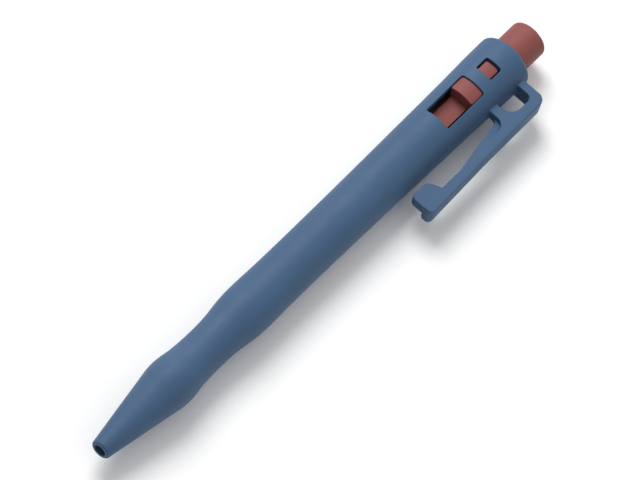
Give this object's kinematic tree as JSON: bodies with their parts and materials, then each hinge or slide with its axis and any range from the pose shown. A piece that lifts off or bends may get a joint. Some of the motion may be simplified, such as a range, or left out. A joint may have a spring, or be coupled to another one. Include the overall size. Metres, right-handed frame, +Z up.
{
  "type": "retractable ballpoint pen",
  "caption": "Push-button ballpoint pen with a one-piece moulded plastic body, a side window latch release and a pocket clip with a lanyard eye.",
  "frame": {"origin": "centre of the bounding box's underside: the pen lies on its side on a surface, windows up", "axes": "+X along the pen from the nose to the push button, +Z up out of the latch windows, -Y towards the pocket clip"},
  "size_m": [0.145, 0.0204, 0.0133],
  "materials": {
    "housing_plastic": "satin slate-blue moulded plastic",
    "plunger_plastic": "satin brick-red moulded plastic",
    "spring_steel": "drawn spring wire",
    "tube_steel": "drawn thin-wall steel tube",
    "point_metal": "turned nickel silver",
    "holder_brass": "turned brass",
    "ball_carbide": "polished tungsten carbide",
    "red_ink": "thick red paste ink"
  },
  "bodies": {
    "housing": {"housing": "housing_plastic", "return_spring": "spring_steel"},
    "clip": {"clip_arm": "housing_plastic"},
    "plunger": {"plunger": "plunger_plastic", "refill_tube": "tube_steel", "point_holder": "holder_brass", "writing_point": "point_metal", "ink_column": "red_ink"},
    "latch": {"latch_tongue": "plunger_plastic"},
    "ball": {"writing_ball": "ball_carbide"}
  },
  "joints": [
    {"name": "button_slide", "type": "slide", "parent": "housing", "child": "plunger", "axis": [-1, 0, 0], "range_m": [0, 0.0071], "stiffness_N_per_m": 250, "springref_m": -0.004, "deforming": ["return_spring", "latch_tongue"]},
    {"name": "latch_flex", "type": "hinge", "parent": "plunger", "child": "latch", "pos_m": [0.0389, 0.00358, 0.00775], "axis": [0, 1, 0], "range_deg": [0, 6], "stiffness_Nm_per_rad": 0.3},
    {"name": "clip_flex", "type": "hinge", "parent": "housing", "child": "clip", "pos_m": [0.043, -0.00949, 0.00665], "axis": [0, 0, 1], "range_deg": [0, 6], "stiffness_Nm_per_rad": 1.5},
    {"name": "ball_roll", "type": "hinge", "parent": "plunger", "child": "ball", "pos_m": [-0.0678, 0.00358, 0.00665], "axis": [0, 1, 0], "continuous": true}
  ]
}
